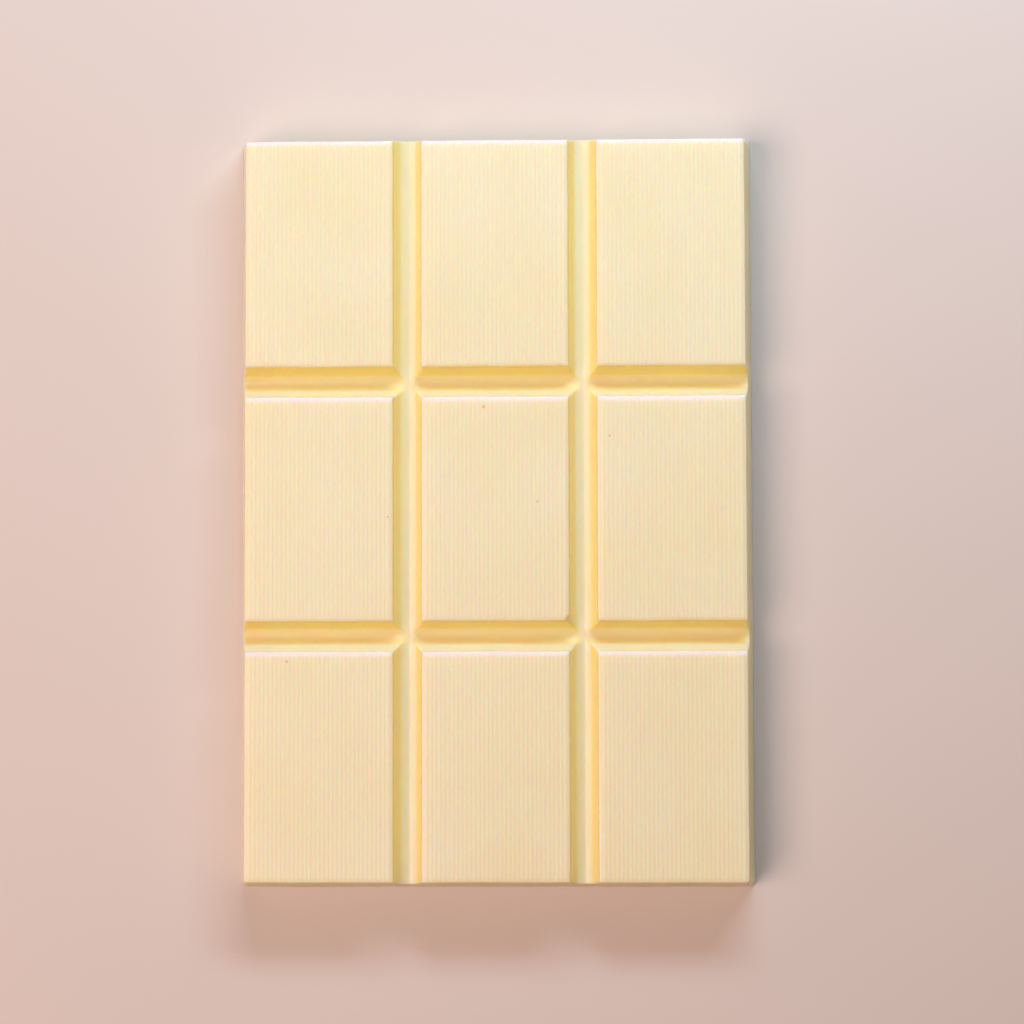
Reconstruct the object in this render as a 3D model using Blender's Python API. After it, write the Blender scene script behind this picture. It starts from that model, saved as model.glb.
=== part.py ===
"""A moulded bar of white chocolate: three columns by three rows of rectangular
blocks with fine ribs along their tops, on one common slab.

Metres, +Z up. The bar lies on its flat back, length along Y, width along X,
with the origin at the centre of the back.
"""

import bpy
import bmesh
import math

# ---------------------------------------------------------------- dimensions
BAR_LENGTH = 0.1170          # Y, at the back
BAR_WIDTH = 0.0800           # X, at the back
BAR_HEIGHT = 0.0090          # back to the crests of the ribs
DRAFT = math.radians(11.25)  # slope of the outer walls, so the bar leaves its mould

COLUMNS = 3                  # blocks across X
ROWS = 3                     # blocks along Y
COLUMN_PITCH = 0.02688       # groove centre to groove centre, across X
ROW_PITCH = 0.03891          # groove centre to groove centre, along Y

COLUMN_GROOVE_WIDTH = 0.00456    # mouth of a groove that runs along Y
ROW_GROOVE_WIDTH = 0.00478       # mouth of a groove that runs along X
GROOVE_FLOOR_WIDTH = 0.0023      # shallow vee between the feet of the groove walls
GROOVE_FOOT_DEPTH = 0.0029       # block face to the foot of the groove wall
GROOVE_DEPTH = 0.0032            # block face to the line along the middle of the floor
FOOT_EASE = 0.00035              # size of the softened foot of a groove wall

EDGE_ROUND = 0.0002          # softened edge of each block face, measured on the face
LIP_DEPTH = 0.0002           # and how far down the wall it reaches

RIB_PITCH = 0.00066          # crest to crest, across X
RIB_HEIGHT = 0.00006         # crest above the plain block face
RIBS_PER_BLOCK = 33

WHITE_CHOCOLATE = (0.90, 0.76, 0.50, 1.0)
ROUGHNESS = 0.42

FACE_HEIGHT = BAR_HEIGHT - RIB_HEIGHT      # plain block face above the back


# ------------------------------------------------------------------ profiles
# A profile is a list of (position, depth below the block face) along one axis.
# All of them turn at the same few depths, so where a groove along X meets a
# groove along Y, or the slope of an outer wall, the two cross in clean mitres.

def groove_side(edge, centre, groove_width):
    """One wall of a groove with its half of the vee floor, from the block
    face at `edge` to the line along the groove's middle at `centre`."""
    way = 1.0 if centre > edge else -1.0
    wall_run = (groove_width - GROOVE_FLOOR_WIDTH) / 2.0
    wall_slope = wall_run / GROOVE_FOOT_DEPTH
    floor_slope = (GROOVE_FLOOR_WIDTH / 2.0) / (GROOVE_DEPTH - GROOVE_FOOT_DEPTH)
    upper, lower = foot_depths()
    return [
        (edge - way * EDGE_ROUND, 0.0),
        (edge + way * LIP_DEPTH * wall_slope, LIP_DEPTH),
        (edge + way * upper * wall_slope, upper),
        (edge + way * (wall_run + (lower - GROOVE_FOOT_DEPTH) * floor_slope), lower),
        (centre, GROOVE_DEPTH),
    ]


def foot_depths():
    """Depths at which a groove wall starts and ends turning into the floor."""
    floor_rise = (GROOVE_DEPTH - GROOVE_FOOT_DEPTH) / (GROOVE_FLOOR_WIDTH / 2.0)
    return GROOVE_FOOT_DEPTH - FOOT_EASE, GROOVE_FOOT_DEPTH + FOOT_EASE * floor_rise


def outer_side(edge):
    """The outer wall from the block face down to the back. It also turns, in
    its own plane, at the depths of the grooves that run out through it."""
    slope = math.tan(DRAFT)
    points = [(edge - EDGE_ROUND, 0.0)]
    for depth in (LIP_DEPTH,) + foot_depths() + (GROOVE_DEPTH, FACE_HEIGHT):
        points.append((edge + depth * slope, depth))
    return points


def axis_profile(base_size, count, pitch, groove_width):
    """Depth profile across the whole bar for `count` blocks."""
    face_half = base_size / 2.0 - FACE_HEIGHT * math.tan(DRAFT)
    half = []
    first = pitch / 2.0 if count % 2 else 0.0
    for k in range(count // 2):
        centre = first + k * pitch
        near = groove_side(centre - groove_width / 2.0, centre, groove_width)
        far = groove_side(centre + groove_width / 2.0, centre, groove_width)
        half += near + far[-2::-1]
    half += outer_side(face_half)
    other = [(-p, d) for p, d in reversed(half)]
    return other + half


def with_ribs(profile):
    """Adds the ribs' valleys and crests along every block face: returns a
    list of (position, depth, rib height)."""
    out = []
    for k, (p, d) in enumerate(profile):
        out.append((p, d, 0.0))
        if d == 0.0 and k + 1 < len(profile) and profile[k + 1][1] == 0.0:
            middle = (p + profile[k + 1][0]) / 2.0
            start = middle - RIBS_PER_BLOCK * RIB_PITCH / 2.0
            for half_step in range(2 * RIBS_PER_BLOCK + 1):
                crest = RIB_HEIGHT if half_step % 2 else 0.0
                out.append((start + half_step * RIB_PITCH / 2.0, 0.0, crest))
    return out


# ---------------------------------------------------------------------- solid

def surface_height(x_item, y_item):
    """Height of the bar where two profile points cross: the deeper one wins,
    and the ribs stand only on the block faces."""
    depth = max(x_item[1], y_item[1])
    rib = x_item[2] if depth == 0.0 else 0.0
    return FACE_HEIGHT - depth + rib


def middle_height(x_a, x_b, y_a, y_b):
    """Height of the true surface at the middle of a cell."""
    depth_x = (x_a[1] + x_b[1]) / 2.0
    depth_y = (y_a[1] + y_b[1]) / 2.0
    return FACE_HEIGHT - max(depth_x, depth_y)


def build_bar_mesh(xs, ys):
    bm = bmesh.new()
    grid = [[bm.verts.new((x[0], y[0], surface_height(x, y))) for y in ys] for x in xs]
    for i in range(len(xs) - 1):
        for j in range(len(ys) - 1):
            a, b = grid[i][j], grid[i + 1][j]
            c, d = grid[i + 1][j + 1], grid[i][j + 1]
            flat = abs((a.co.z + c.co.z) - (b.co.z + d.co.z)) < 1e-9
            if flat:
                bm.faces.new((a, b, c, d))
                continue
            target = middle_height(xs[i], xs[i + 1], ys[j], ys[j + 1])
            along_ac = abs((a.co.z + c.co.z) / 2.0 - target)
            along_bd = abs((b.co.z + d.co.z) / 2.0 - target)
            if along_ac <= along_bd:
                bm.faces.new((a, b, c))
                bm.faces.new((a, c, d))
            else:
                bm.faces.new((a, b, d))
                bm.faces.new((b, c, d))

    # The back closes the bar along its foot.
    last_x, last_y = len(xs) - 1, len(ys) - 1
    foot = [grid[0][j] for j in range(0, last_y)]
    foot += [grid[i][last_y] for i in range(0, last_x)]
    foot += [grid[last_x][j] for j in range(last_y, 0, -1)]
    foot += [grid[i][0] for i in range(last_x, 0, -1)]
    bm.faces.new(foot)

    # Walls, floors and the back are flat: one face each instead of strips.
    bmesh.ops.dissolve_limit(
        bm, angle_limit=math.radians(0.02), use_dissolve_boundaries=False,
        verts=bm.verts, edges=bm.edges)
    bmesh.ops.triangulate(bm, faces=bm.faces, quad_method='BEAUTY', ngon_method='BEAUTY')
    bmesh.ops.recalc_face_normals(bm, faces=bm.faces)
    return bm


def white_chocolate():
    material = bpy.data.materials.new("white_chocolate")
    material.use_nodes = True
    shader = material.node_tree.nodes["Principled BSDF"]
    shader.inputs["Base Color"].default_value = WHITE_CHOCOLATE
    shader.inputs["Roughness"].default_value = ROUGHNESS
    shader.inputs["Metallic"].default_value = 0.0
    material.diffuse_color = WHITE_CHOCOLATE
    return material


def build():
    for leftover in list(bpy.data.objects):
        bpy.data.objects.remove(leftover, do_unlink=True)

    across = axis_profile(BAR_WIDTH, COLUMNS, COLUMN_PITCH, COLUMN_GROOVE_WIDTH)
    along = axis_profile(BAR_LENGTH, ROWS, ROW_PITCH, ROW_GROOVE_WIDTH)
    xs = with_ribs(across)
    ys = [(p, d, 0.0) for p, d in along]

    bm = build_bar_mesh(xs, ys)
    mesh = bpy.data.meshes.new("chocolate_bar")
    bm.to_mesh(mesh)
    bm.free()
    mesh.materials.append(white_chocolate())

    bar = bpy.data.objects.new("chocolate_bar", mesh)
    bpy.context.scene.collection.objects.link(bar)
    return bar


build()
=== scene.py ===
import bpy
import math
import numpy as np
from mathutils import Vector, Matrix
from mathutils.geometry import delaunay_2d_cdt


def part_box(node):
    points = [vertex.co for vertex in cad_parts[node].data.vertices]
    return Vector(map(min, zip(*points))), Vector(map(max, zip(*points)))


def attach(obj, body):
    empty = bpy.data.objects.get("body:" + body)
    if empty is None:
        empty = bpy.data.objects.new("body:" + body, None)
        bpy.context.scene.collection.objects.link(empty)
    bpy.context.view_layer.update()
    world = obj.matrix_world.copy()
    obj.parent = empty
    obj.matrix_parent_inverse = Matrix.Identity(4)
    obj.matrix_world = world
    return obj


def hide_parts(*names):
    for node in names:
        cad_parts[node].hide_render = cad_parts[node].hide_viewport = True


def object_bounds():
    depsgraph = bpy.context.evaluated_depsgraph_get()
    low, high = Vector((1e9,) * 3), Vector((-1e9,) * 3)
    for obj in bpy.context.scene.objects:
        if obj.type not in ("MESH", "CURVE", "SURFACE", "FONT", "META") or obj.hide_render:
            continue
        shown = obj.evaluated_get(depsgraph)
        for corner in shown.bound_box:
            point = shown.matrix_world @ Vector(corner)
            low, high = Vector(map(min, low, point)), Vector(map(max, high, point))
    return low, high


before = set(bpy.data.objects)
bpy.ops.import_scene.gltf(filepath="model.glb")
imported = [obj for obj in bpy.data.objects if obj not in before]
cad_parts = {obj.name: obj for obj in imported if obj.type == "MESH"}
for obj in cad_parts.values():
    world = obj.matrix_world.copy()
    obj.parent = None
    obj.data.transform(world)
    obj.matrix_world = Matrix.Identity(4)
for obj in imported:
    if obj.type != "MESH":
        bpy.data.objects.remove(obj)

MM = 0.001
scene = bpy.context.scene
cad_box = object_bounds()
low, high = [Vector(c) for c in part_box("chocolate_bar")]

# ------------------------------------------------------------------ the form
# The same named sizes as the solid, in millimetres.
BASE_X = (high.x - low.x) / MM
BASE_Y = (high.y - low.y) / MM
HEIGHT = (high.z - low.z) / MM
DRAFT = math.tan(math.radians(11.25))
RIB_HEIGHT = 0.06
FACE = HEIGHT - RIB_HEIGHT
COLUMN_PITCH, ROW_PITCH = 26.88, 38.91
COLUMN_GROOVE, ROW_GROOVE = 4.56, 4.78
COLUMN_FLOOR, ROW_FLOOR, FOOT, DEEP = 2.3, 2.2, 2.9, 3.2
LIPS_X, LIPS_Y = (0.22, 0.38), (0.24, 0.50)      # radius of a lip that faces forwards or back along the axis
OUTER_LIP_RADIUS, FOOT_RADIUS, CREASE_RADIUS = 0.14, 1.70, 0.5
CROWN_X, CROWN_Y = (0.45, 0.030), (0.95, 0.075)   # how wide and how deep a face falls off to its edge
RIB_PITCH, RIBS = 0.66, 33

FACE_X = BASE_X / 2 - FACE * DRAFT + 0.05   # edge of the outermost faces
FACE_Y = BASE_Y / 2 - FACE * DRAFT - 0.06


def filleted(points, steps=9):
    """Replaces each turn of (x, y, radius) points by an arc of that radius."""
    out = [points[0][:2]]
    for before, here, after in zip(points, points[1:], points[2:]):
        p, radius = np.array(here[:2]), here[2]
        u, v = np.array(before[:2]) - p, np.array(after[:2]) - p
        share = [0.9 if other[2] == 0 else here[2] ** 0.5 / (here[2] ** 0.5 + other[2] ** 0.5) * 0.98 for other in (before, after)]
        room = min(np.linalg.norm(u) * share[0], np.linalg.norm(v) * share[1])
        u, v = u / np.linalg.norm(u), v / np.linalg.norm(v)
        half = math.acos(max(-1.0, min(1.0, float(u @ v)))) / 2
        reach = radius / math.tan(half) if half < 1.57 else 0.0
        if radius <= 0 or reach < 1e-6:
            out.append(tuple(p))
            continue
        reach = min(reach, room)
        radius = reach * math.tan(half)
        centre = p + (u + v) / np.linalg.norm(u + v) * (radius / math.sin(half))
        start, end = p + u * reach - centre, p + v * reach - centre
        sweep = math.acos(max(-1.0, min(1.0, float(start @ end) / radius ** 2)))
        for k in range(steps + 1):
            t = k / steps
            arc = (math.sin((1 - t) * sweep) * start + math.sin(t * sweep) * end) / math.sin(sweep)
            out.append(tuple(centre + arc))
    out.append(points[-1][:2])
    return out


def rounded_profile(face_half, pitch, mouth, floor, crown, lips):
    """Depth from the middle outwards, with rounded lips, feet and creases. Each
    face falls off a little towards its edges, over `crown` (width, depth)."""
    centre, half = pitch / 2, mouth / 2
    wide, deep = crown

    def shoulder(edge, way):
        return [(edge + way * wide * t, deep * (1 - t) ** 2, 0.0) for t in (0.32, 0.48, 0.64, 0.8, 1.0)]

    def side(inner_lip, outer_lip):
        return shoulder(centre - half, -1)[::-1] + [
            (centre - half, deep, inner_lip), (centre - floor / 2, FOOT, FOOT_RADIUS),
            (centre, DEEP, CREASE_RADIUS),
            (centre + floor / 2, FOOT, FOOT_RADIUS), (centre + half, deep, outer_lip),
        ] + shoulder(centre + half, 1) + shoulder(face_half, -1)[::-1] + [
            (face_half, deep, OUTER_LIP_RADIUS), (face_half + 1.6 * FACE * DRAFT, 1.6 * FACE, 0.0),
        ]

    one_side = side(lips[0], lips[1])
    other = [(-p, d, r) for p, d, r in reversed(side(lips[1], lips[0]))]
    line = filleted(other + one_side)
    p = np.array([a for a, b in line])
    return p, np.array([b for a, b in line])


PROFILE_X = rounded_profile(FACE_X, COLUMN_PITCH, COLUMN_GROOVE, COLUMN_FLOOR, CROWN_X, LIPS_X[::-1])
PROFILE_Y = rounded_profile(FACE_Y, ROW_PITCH, ROW_GROOVE, ROW_FLOOR, CROWN_Y, LIPS_Y)

# The bar's surface is sampled along lines that follow its form: close together
# over lips, feet and ribs, far apart where it is plain.
LEVELS = [0.09, 0.17, 0.30, 0.9, 1.7, 2.25, 2.5, 2.7, 2.85, 2.95, 3.08]


def at_depth(level, mouth, floor):
    """How far from a groove's middle its wall or floor has this depth."""
    if level <= FOOT:
        return mouth / 2 - (mouth - floor) / 2 * level / FOOT
    return floor / 2 * (DEEP - level) / (DEEP - FOOT)


def sample_lines(face_half, pitch, mouth, floor, plain_step, beside, ribbed):
    centre, half = pitch / 2, mouth / 2
    lines = []
    for side in (-1, 1):
        edge = centre + side * half
        lines += [edge] + [edge + side * o for o in beside]
        lines += [centre + side * at_depth(l, mouth, floor) for l in LEVELS]
    lines.append(centre)
    lines += [face_half] + [face_half - o for o in beside]
    lines += [face_half + DRAFT * l for l in LEVELS + [DEEP, 4.4, 5.6, 6.8, 7.8, 8.4, 8.68, 8.84, FACE]]
    spans = [(0.0, centre - half - beside[-1]), (centre + half + beside[-1], face_half - beside[-1])]
    if ribbed:
        per_rib = 5
        for middle, whole in ((0.0, False), ((centre + half + face_half) / 2, True)):
            n = RIBS * per_rib
            for k in range(n + 1):
                x = middle - RIBS * RIB_PITCH / 2 + k * RIB_PITCH / per_rib
                if whole or x > 1e-6:
                    lines.append(x)
            if not whole and n % 2 == 0:
                lines.append(0.0)
    else:
        for a, b in spans:
            count = max(2, int(round((b - a) / plain_step)))
            lines += [a + (b - a) * k / count for k in range(0, count)]
    half_lines = sorted(set(round(v, 5) for v in lines if v > 1e-6))
    kept = [half_lines[0]]
    for v in half_lines[1:]:
        if v - kept[-1] > 0.012:
            kept.append(v)
    full = [-v for v in reversed(kept)] + ([0.0] if not ribbed else []) + kept
    return np.array(full)


xs = sample_lines(FACE_X, COLUMN_PITCH, COLUMN_GROOVE, COLUMN_FLOOR, 3.6, [0.03, 0.07, 0.12, 0.19, 0.30, 0.45], True)
ys = sample_lines(FACE_Y, ROW_PITCH, ROW_GROOVE, ROW_FLOOR, 4.8, [0.04, 0.10, 0.20, 0.38, 0.62, 0.95], False)
X, Y = np.meshgrid(xs, ys, indexing="ij")


def waves(x, y, seed, wavelength, count=7):
    """Smooth unevenness, about -1 to 1, the same on every run."""
    rng = np.random.RandomState(seed)
    total = np.zeros_like(x)
    for _ in range(count):
        angle = rng.uniform(0, 2 * math.pi)
        k = 2 * math.pi / (wavelength * rng.uniform(0.7, 1.6))
        total += np.sin(k * (x * math.cos(angle) + y * math.sin(angle)) + rng.uniform(0, 2 * math.pi))
    return total / math.sqrt(count / 2.0) / 1.6


def smooth_step(a, b, v):
    t = np.clip((v - a) / (b - a), 0.0, 1.0)
    return t * t * (3 - 2 * t)


def rib_wave(x, y):
    """Rounded ribs with one side a little steeper, on the block faces only."""
    height = np.zeros_like(x)
    centre_out = (COLUMN_PITCH / 2 + COLUMN_GROOVE / 2 + FACE_X) / 2
    for number, middle in enumerate((-centre_out, 0.0, centre_out)):
        t = (x - middle) / RIB_PITCH + RIBS / 2
        on = (t > 0) & (t < RIBS)
        phase = t + 0.06 * np.sin(2 * math.pi * t)
        wave = 0.5 - 0.5 * np.cos(2 * math.pi * phase)
        rng = np.random.RandomState(40 + number)
        strength = 1.0 - 0.22 * rng.rand(RIBS + 1)
        wave = wave * strength[np.clip(np.floor(t).astype(int), 0, RIBS)]
        height += np.where(on, wave, 0.0)
    return height * RIB_HEIGHT * (0.93 + 0.07 * waves(x, y, 5, 24.0))


def bar_depth(x, y):
    dx = np.interp(x, *PROFILE_X)
    dy = np.interp(y, *PROFILE_Y)
    k = np.minimum(0.26, 0.7 * np.minimum(dx, dy)) + 1e-9
    h = np.maximum(k - np.abs(dx - dy), 0.0) / k
    return np.maximum(dx, dy) + h * h * k * 0.25


# Small knocks on block corners: where, which way is inward, how far in, how steep.
edge_x = COLUMN_PITCH / 2 - COLUMN_GROOVE / 2
edge_x2 = COLUMN_PITCH / 2 + COLUMN_GROOVE / 2
edge_y = ROW_PITCH / 2 - ROW_GROOVE / 2
edge_y2 = ROW_PITCH / 2 + ROW_GROOVE / 2
KNOCKS = [
    (edge_x, -edge_y, -0.82, 0.57, 0.66, 1.1),
    (edge_x2, -edge_y2, 0.7, -0.7, 0.30, 0.9),
    (-edge_x2, -edge_y2, -0.7, -0.7, 0.12, 0.9),
    (-edge_x2, edge_y, -0.75, -0.66, 0.18, 0.9),
    (edge_x, edge_y, -0.7, -0.7, 0.16, 0.9),
    (edge_x2, edge_y2, 0.6, 0.8, 0.14, 0.9),
    (-edge_x, edge_y2, 0.7, 0.7, 0.18, 0.9),
    (FACE_X, -FACE_Y, -0.7, 0.7, 0.26, 1.0),
    (-FACE_X, -FACE_Y, 0.7, 0.7, 0.18, 1.0),
]


def bar_height(x, y):
    wx = x + 0.022 * waves(x, y, 11, 9.0) + 0.012 * waves(x, y, 12, 3.1)
    wy = y + 0.022 * waves(x, y, 13, 9.0) + 0.012 * waves(x, y, 14, 3.1)
    depth = bar_depth(wx, wy)
    on_face = 1.0 - smooth_step(0.10, 0.26, depth)
    z = FACE - depth + rib_wave(x, y) * on_face
    z += on_face * (0.012 * waves(x, y, 21, 17.0) - 0.010)
    groove = smooth_step(0.5, 2.0, depth) * (1.0 - smooth_step(DEEP + 0.1, DEEP + 0.8, depth))
    z += groove * 0.016 * waves(x, y, 22, 5.0)
    for cx, cy, nx, ny, size, slope in KNOCKS:
        s = (x - cx) * nx + (y - cy) * ny
        away = np.hypot(x - cx, y - cy)
        limit = FACE + 0.02 + (s - size) * slope
        over = np.clip(z - limit, -0.06, 0.9)
        cut = np.where(over > 0.06, over, (over + 0.06) ** 2 / 0.24)
        z = z - cut * (1.0 - smooth_step(1.2 * size + 0.1, 2.0 * size + 0.35, away))
    return z


Z = bar_height(X, Y)
Z[0, :] = Z[-1, :] = 0.0
Z[:, 0] = Z[:, -1] = 0.0
Z = np.maximum(Z, 0.0)

# Height of every cell's middle, to turn its diagonal along the mitres.
XM = (X[:-1, :-1] + X[1:, 1:]) / 2
YM = (Y[:-1, :-1] + Y[1:, 1:]) / 2
ZM = bar_height(XM, YM)
turn = np.abs((Z[:-1, :-1] + Z[1:, 1:]) / 2 - ZM) > np.abs((Z[1:, :-1] + Z[:-1, 1:]) / 2 - ZM)

# The four upright corners are rounded, a little more at the foot than above.
depth = FACE - Z
wall_x = FACE_X + np.maximum(depth, 0) * DRAFT
wall_y = FACE_Y + np.maximum(depth, 0) * DRAFT
radius = 0.42 + 0.45 * np.clip(depth / FACE, 0, 1)
a = np.abs(X) - (wall_x - radius)
b = np.abs(Y) - (wall_y - radius)
corner = (a > 0) & (b > 0)
m = np.maximum(a, b)
e = np.hypot(a, b)
scale = np.where(corner, m / np.maximum(e, 1e-9), 1.0)
PX = np.where(corner, np.sign(X) * ((wall_x - radius) + a * scale), X)
PY = np.where(corner, np.sign(Y) * ((wall_y - radius) + b * scale), Y)

# The foot turns in under the wall and wanders a little, as a poured edge does.
foot_round = 0.08 * (1.0 - np.sqrt(1.0 - np.clip(1.0 - Z / 0.22, 0.0, 1.0) ** 2 * 0.999))
wander = (1.0 - smooth_step(0.0, 2.2, Z)) * 0.035 * waves(PX, PY, 31, 5.0)
shrink_x = (wall_x - foot_round - 0.02 + wander) / wall_x
shrink_y = (wall_y - foot_round - np.where(PY < 0, -0.10, 0.02) + wander) / wall_y
low_part = 1.0 - smooth_step(1.0, 3.0, Z)
PX = PX * (1 + (shrink_x - 1) * low_part)
PY = PY * (1 + (shrink_y - 1) * low_part)

nx, ny = X.shape
verts = [tuple(v) for v in np.stack([PX, PY, Z], axis=-1).reshape(-1, 3) * MM]
index = np.arange(nx * ny).reshape(nx, ny)
A, B, C, D = index[:-1, :-1], index[1:, :-1], index[1:, 1:], index[:-1, 1:]
one = np.where(turn[..., None], np.stack([A, B, D], -1), np.stack([A, B, C], -1)).reshape(-1, 3)
two = np.where(turn[..., None], np.stack([B, C, D], -1), np.stack([A, C, D], -1)).reshape(-1, 3)
faces = np.concatenate([one, two]).tolist()

# ------------------------------------------------------------------- the back
ring = [index[0, j] for j in range(0, ny - 1)]
ring += [index[i, ny - 1] for i in range(0, nx - 1)]
ring += [index[nx - 1, j] for j in range(ny - 1, 0, -1)]
ring += [index[i, 0] for i in range(nx - 1, 0, -1)]
ring = [int(i) for i in ring]
flat = [Vector((verts[i][0] / MM, verts[i][1] / MM)) for i in ring]
inner = []
half_x, half_y = BASE_X / 2 - 1.1, BASE_Y / 2 - 1.1
count_x, count_y = 34, 50
for i in range(count_x + 1):
    for j in range(count_y + 1):
        shift = 0.35 * (j % 2) if 0 < i < count_x else 0.0
        inner.append(Vector((-half_x + 2 * half_x * (i + shift) / count_x, -half_y + 2 * half_y * j / count_y)))
points = flat + inner
edges = [(k, (k + 1) % len(flat)) for k in range(len(flat))]
out_points, _, out_faces, origin, _, _ = delaunay_2d_cdt(points, edges, [], 1, 1e-6)
remap = {}
for k, point in enumerate(out_points):
    first = min(origin[k]) if origin[k] else -1
    if 0 <= first < len(ring):
        remap[k] = ring[first]
    else:
        inset = min(BASE_X / 2 - abs(point.x), BASE_Y / 2 - abs(point.y))
        px, py = np.array([point.x]), np.array([point.y])
        lift = 0.05 + 0.035 * float(waves(px, py, 51, 22.0)[0]) + 0.015 * float(waves(px, py, 52, 7.0)[0])
        lift = max(0.0, lift) * min(1.0, max(0.0, (inset - 0.8) / 2.5))
        remap[k] = len(verts)
        verts.append((point.x * MM, point.y * MM, lift * MM))
for face in out_faces:
    faces.append([remap[k] for k in reversed(face)])

mesh = bpy.data.meshes.new("bar_of_white_chocolate")
mesh.from_pydata(verts, [], faces)
mesh.validate()
mesh.update()
mesh.shade_smooth()
bar = bpy.data.objects.new("bar_of_white_chocolate", mesh)
scene.collection.objects.link(bar)


# --------------------------------------------------------------- the material
def white_chocolate():
    mat = bpy.data.materials.new("white_chocolate")
    mat.use_nodes = True
    nt = mat.node_tree
    nodes, links = nt.nodes, nt.links
    nodes.clear()
    out = nodes.new("ShaderNodeOutputMaterial")
    bsdf = nodes.new("ShaderNodeBsdfPrincipled")
    links.new(bsdf.outputs[0], out.inputs["Surface"])
    coord = nodes.new("ShaderNodeTexCoord")

    def noise(scale, detail, rough=0.5, stretch=None):
        n = nodes.new("ShaderNodeTexNoise")
        n.inputs["Scale"].default_value = scale
        n.inputs["Detail"].default_value = detail
        n.inputs["Roughness"].default_value = rough
        if stretch is None:
            links.new(coord.outputs["Object"], n.inputs["Vector"])
        else:
            m = nodes.new("ShaderNodeMapping")
            m.inputs["Scale"].default_value = stretch
            links.new(coord.outputs["Object"], m.inputs["Vector"])
            links.new(m.outputs[0], n.inputs["Vector"])
        return n.outputs["Fac"]

    def ranged(value, a, b, c, d):
        n = nodes.new("ShaderNodeMapRange")
        n.interpolation_type = "SMOOTHSTEP"
        for k, v in zip(("From Min", "From Max", "To Min", "To Max"), (a, b, c, d)):
            n.inputs[k].default_value = v
        links.new(value, n.inputs["Value"])
        return n.outputs["Result"]

    def mixed(factor, first, second, blend="MIX"):
        n = nodes.new("ShaderNodeMix")
        n.data_type = "RGBA"
        n.blend_type = blend
        n.clamp_factor = True
        for socket, value in ((n.inputs[0], factor), (n.inputs[6], first), (n.inputs[7], second)):
            if isinstance(value, (tuple, float)):
                socket.default_value = value
            else:
                links.new(value, socket)
        return n.outputs[2]

    milk = (0.868, 0.905, 0.690, 1.0)
    butter = (0.862, 0.870, 0.610, 1.0)
    # deep is the yellow painted into the shade of the grooves.
    deep = (0.990, 0.820, 0.270, 1.0)

    cloud = ranged(noise(45.0, 3.0), 0.35, 0.65, 0.0, 0.45)
    colour = mixed(cloud, milk, butter)
    mottle = ranged(noise(700.0, 4.0, 0.6), 0.35, 0.70, 0.0, 0.10)
    colour = mixed(mottle, colour, butter)

    # Painted shade and bounce light: the walls of the grooves, and a little of their
    # floors, are coloured a deeper yellow where they lie in shade.
    split = nodes.new("ShaderNodeSeparateXYZ")
    links.new(coord.outputs["Object"], split.inputs[0])
    facing = nodes.new("ShaderNodeSeparateXYZ")
    links.new(coord.outputs["Normal"], facing.inputs[0])

    def math_node(operation, first, second=0.0):
        n = nodes.new("ShaderNodeMath")
        n.operation = operation
        for socket, value in ((n.inputs[0], first), (n.inputs[1], second)):
            if isinstance(value, float):
                socket.default_value = value
            else:
                links.new(value, socket)
        return n.outputs[0]

    steep = ranged(facing.outputs["Z"], 0.93, 0.50, 0.0, 1.0)
    # Walls facing the near end get the most of this painted shade, walls facing the far lamp the least.
    to_near = ranged(facing.outputs["Y"], -0.75, -0.20, 0.97, 0.76)
    to_far = ranged(facing.outputs["Y"], 0.15, 0.60, 1.0, 0.16)
    steep = math_node("MULTIPLY", steep, math_node("MULTIPLY", to_near, to_far))
    cross_floor = math_node("MAXIMUM", ranged(facing.outputs["Y"], -0.04, -0.20, 0.08, 0.50),
                            ranged(facing.outputs["Y"], 0.04, 0.20, 0.08, 0.62))
    off_row = math_node("ABSOLUTE", math_node("SUBTRACT", math_node("ABSOLUTE", split.outputs["Y"]), ROW_PITCH / 2 * MM))
    off_column = math_node("ABSOLUTE", math_node("SUBTRACT", math_node("ABSOLUTE", split.outputs["X"]), COLUMN_PITCH / 2 * MM))
    crease = math_node("MULTIPLY", ranged(off_row, 0.5 * MM, 1.1 * MM, 0.46, 0.0), ranged(off_column, 1.6 * MM, 2.6 * MM, 0.0, 1.0))
    cross_floor = math_node("MAXIMUM", cross_floor, crease)
    sunk = ranged(split.outputs["Z"], (FACE - 2.0) * MM, (FACE - 2.8) * MM, 0.0, 1.0)
    sunk = math_node("MULTIPLY", sunk, cross_floor)
    within_x = ranged(math_node("ABSOLUTE", split.outputs["X"]), (FACE_X - 0.1) * MM, (FACE_X + 0.5) * MM, 1.0, 0.60)
    within_y = ranged(math_node("ABSOLUTE", split.outputs["Y"]), (FACE_Y - 0.1) * MM, (FACE_Y + 0.5) * MM, 1.0, 0.45)
    within = math_node("MULTIPLY", within_x, within_y)
    groove_shade = math_node("MULTIPLY", math_node("MAXIMUM", steep, sunk), within)
    to_back = ranged(facing.outputs["Z"], -0.60, -0.20, 1.0, 0.0)
    groove_shade = math_node("MULTIPLY", groove_shade, math_node("SUBTRACT", 1.0, to_back))
    colour = mixed(groove_shade, colour, deep)
    colour = mixed(to_back, colour, (1.0, 0.91, 0.90, 1.0), "MULTIPLY")

    # Painted shade: the valleys between the ribs are coloured a little yellower than their crests.
    rib_valley_shade = ranged(split.outputs["Z"], (FACE - 0.004) * MM, (FACE + 0.040) * MM, 1.0, 0.0)
    on_top = ranged(split.outputs["Z"], (FACE - 0.055) * MM, (FACE - 0.025) * MM, 0.0, 1.0)
    colour = mixed(math_node("MULTIPLY", rib_valley_shade, on_top), colour, (0.990, 0.968, 0.905, 1.0), "MULTIPLY")
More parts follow.
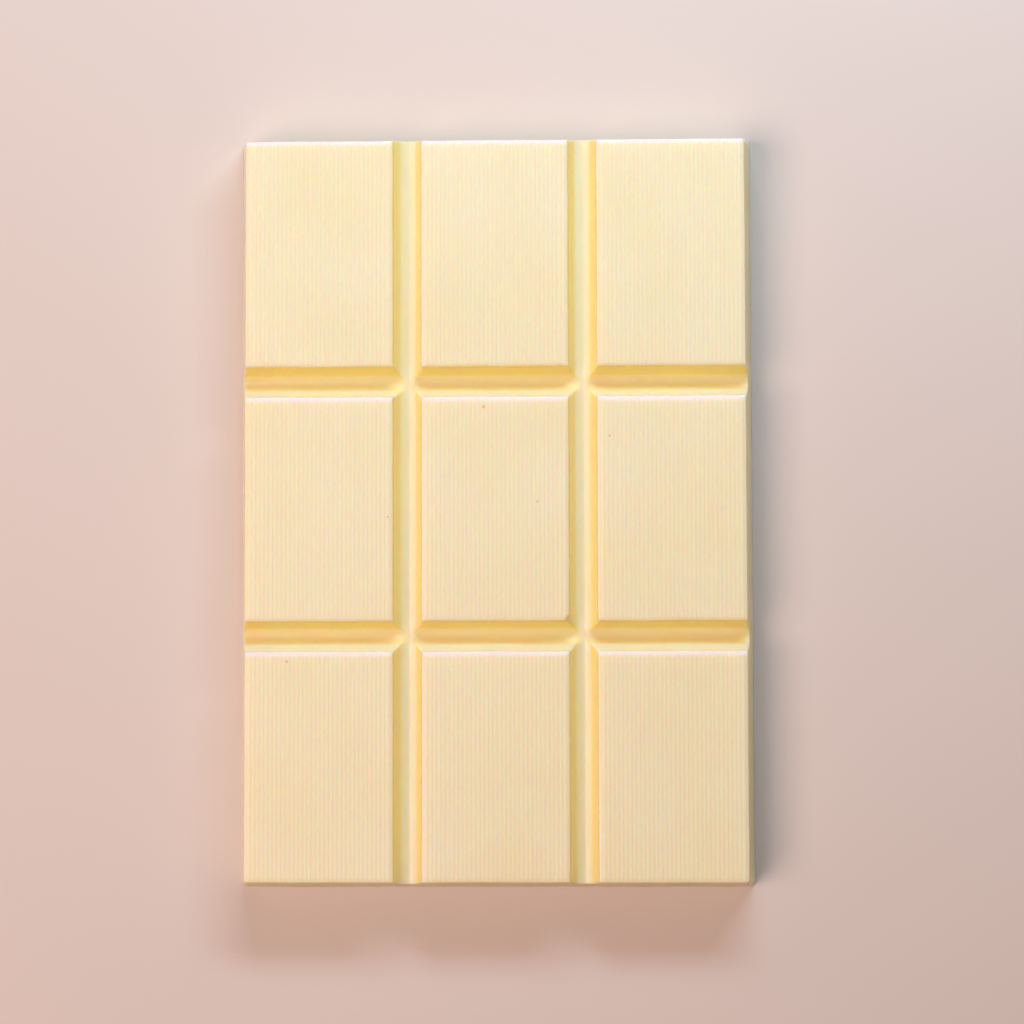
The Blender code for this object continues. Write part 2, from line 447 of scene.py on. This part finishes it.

    # Painted highlight: lips that face the far end or the left, towards the lamps, are paler, and so is the strip
    # beside the crease of a column groove's floor.
    to_left = math_node("MULTIPLY", facing.outputs["X"], -1.0)
    left_lip = math_node("MULTIPLY", ranged(to_left, 0.12, 0.34, 0.0, 0.9),
                         ranged(split.outputs["Z"], (FACE - 0.022) * MM, (FACE - 0.042) * MM, 0.0, 1.0))
    left_lip = math_node("MULTIPLY", left_lip, ranged(split.outputs["Z"], (FACE - 0.24) * MM, (FACE - 0.10) * MM, 0.0, 1.0))
    lit_lip_highlight = math_node("MAXIMUM", ranged(facing.outputs["Y"], 0.008, 0.12, 0.0, 1.0), left_lip)
    edge_band = ranged(split.outputs["Z"], (FACE - 0.45) * MM, (FACE - 0.16) * MM, 0.0, 1.0)
    line_band = math_node("MULTIPLY", ranged(split.outputs["Z"], (FACE - 3.08) * MM, (FACE - 3.16) * MM, 0.0, 0.60),
                          ranged(to_left, 0.06, 0.20, 0.0, 1.0))
    pale = math_node("MAXIMUM", math_node("MULTIPLY", lit_lip_highlight, edge_band), math_node("MULTIPLY", line_band, within))
    colour = mixed(pale, colour, (0.930, 0.970, 0.975, 1.0))

    # Painted shade: the outer wall facing the near end is darkened. The wall facing the far end is made warmer.
    outside = math_node("SUBTRACT", 1.0, within)
    near_wall_shade = ranged(facing.outputs["Y"], -0.80, -0.30, 1.0, 0.0)
    far_wall = ranged(facing.outputs["Y"], 0.45, 0.85, 0.0, 1.0)
    colour = mixed(math_node("MULTIPLY", outside, near_wall_shade), colour, (0.84, 0.76, 0.68, 1.0), "MULTIPLY")
    colour = mixed(math_node("MULTIPLY", outside, far_wall), colour, (1.0, 0.84, 0.78, 1.0), "MULTIPLY")

    # A few dark flecks of vanilla and cocoa skin, far apart.
    cells = nodes.new("ShaderNodeTexVoronoi")
    cells.inputs["Scale"].default_value = 95.0
    cells.inputs["Randomness"].default_value = 1.0
    links.new(coord.outputs["Object"], cells.inputs["Vector"])
    fleck = ranged(cells.outputs["Distance"], 0.016, 0.028, 0.55, 0.0)
    colour = mixed(fleck, colour, (0.62, 0.42, 0.22, 1.0))
    links.new(colour, bsdf.inputs["Base Color"])

    # Edges and groove walls were pressed against the mould and are glossier than the ribs.
    satin = ranged(noise(160.0, 4.0, 0.65), 0.30, 0.72, 0.48, 0.56)
    below = ranged(split.outputs["Z"], (FACE - 0.020) * MM, (FACE - 0.075) * MM, 0.0, 1.0)
    shallow = ranged(split.outputs["Z"], (FACE - 0.9) * MM, (FACE - 0.4) * MM, 0.65, 1.0)
    polish = math_node("MULTIPLY", math_node("MULTIPLY", below, shallow), 0.28)
    links.new(math_node("SUBTRACT", satin, polish), bsdf.inputs["Roughness"])
    bsdf.inputs["IOR"].default_value = 1.46
    bsdf.inputs["Specular IOR Level"].default_value = 0.45
    bsdf.inputs["Subsurface Weight"].default_value = 1.0
    bsdf.inputs["Subsurface Radius"].default_value = (1.0, 0.6, 0.3)
    bsdf.inputs["Subsurface Scale"].default_value = 0.0020

    grain = nodes.new("ShaderNodeBump")
    grain.inputs["Strength"].default_value = 0.35
    grain.inputs["Distance"].default_value = 0.00002
    links.new(noise(2600.0, 3.0, 0.6), grain.inputs["Height"])
    swell = nodes.new("ShaderNodeBump")
    swell.inputs["Strength"].default_value = 0.5
    swell.inputs["Distance"].default_value = 0.00006
    links.new(noise(210.0, 2.0, 0.5), swell.inputs["Height"])
    links.new(grain.outputs[0], swell.inputs["Normal"])
    links.new(swell.outputs[0], bsdf.inputs["Normal"])
    return mat


mesh.materials.append(white_chocolate())
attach(bar, "root")
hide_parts("chocolate_bar")


# ------------------------------------------------------- floor, light, camera
def plain(name, colour, rough):
    mat = bpy.data.materials.new(name)
    mat.use_nodes = True
    shader = mat.node_tree.nodes["Principled BSDF"]
    shader.inputs["Base Color"].default_value = colour
    shader.inputs["Roughness"].default_value = rough
    shader.inputs["Specular IOR Level"].default_value = 0.2
    return mat


floor_mesh = bpy.data.meshes.new("floor")
s = 1.5
floor_mesh.from_pydata([(-s, -s, 0), (s, -s, 0), (s, s, 0), (-s, s, 0)], [], [(0, 1, 2, 3)])
floor_mesh.materials.append(plain("pale_floor", (0.689, 0.675, 0.65, 1.0), 0.8))
floor = bpy.data.objects.new("floor", floor_mesh)
floor.location.z = cad_box[0][2] - 0.00002
scene.collection.objects.link(floor)


def area_light(name, where, target, size, size_y, power, colour):
    data = bpy.data.lights.new(name, "AREA")
    data.shape = "RECTANGLE"
    data.size, data.size_y = size, size_y
    data.energy = power
    data.color = colour
    lamp = bpy.data.objects.new(name, data)
    lamp.location = where
    lamp.rotation_euler = (Vector(target) - Vector(where)).to_track_quat("-Z", "Y").to_euler()
    scene.collection.objects.link(lamp)
    return lamp


# A broad warm light overhead to the left, and a cooler, lower strip beyond the far end.
area_light("overhead", (-0.34, -0.12, 0.54), (0, 0, 0), 0.40, 0.36, 3.243, (1.0, 0.697, 0.5965))
area_light("far_strip", (0.070, 0.260, 0.210), (0, -0.01, 0), 0.27, 0.06, 0.802, (0.7825, 0.899, 1.0))

world = bpy.data.worlds.new("studio")
world.use_nodes = True
world.node_tree.nodes["Background"].inputs["Color"].default_value = (1.0, 0.485, 0.324, 1.0)
world.node_tree.nodes["Background"].inputs["Strength"].default_value = 0.1545
scene.world = world
scene.view_settings.view_transform = "Standard"

camera_data = bpy.data.cameras.new("camera")
camera_data.sensor_width = 36.0
camera_data.lens = 36.0 * 2000.0 / 1024.0
camera_data.clip_start = 0.01
camera_data.clip_end = 10.0
camera = bpy.data.objects.new("camera", camera_data)
forward = Vector((-0.01996308, 0.0415295, -0.99893782)).normalized()
up = Vector((0.00381812, 0.99913282, 0.04146131))
right = forward.cross(up).normalized()
up = right.cross(forward).normalized()
turn_matrix = Matrix((right, up, -forward)).transposed().to_4x4()
camera.matrix_world = Matrix.Translation((0.00864000, -0.01319000, 0.31354400)) @ turn_matrix
scene.collection.objects.link(camera)
scene.camera = camera
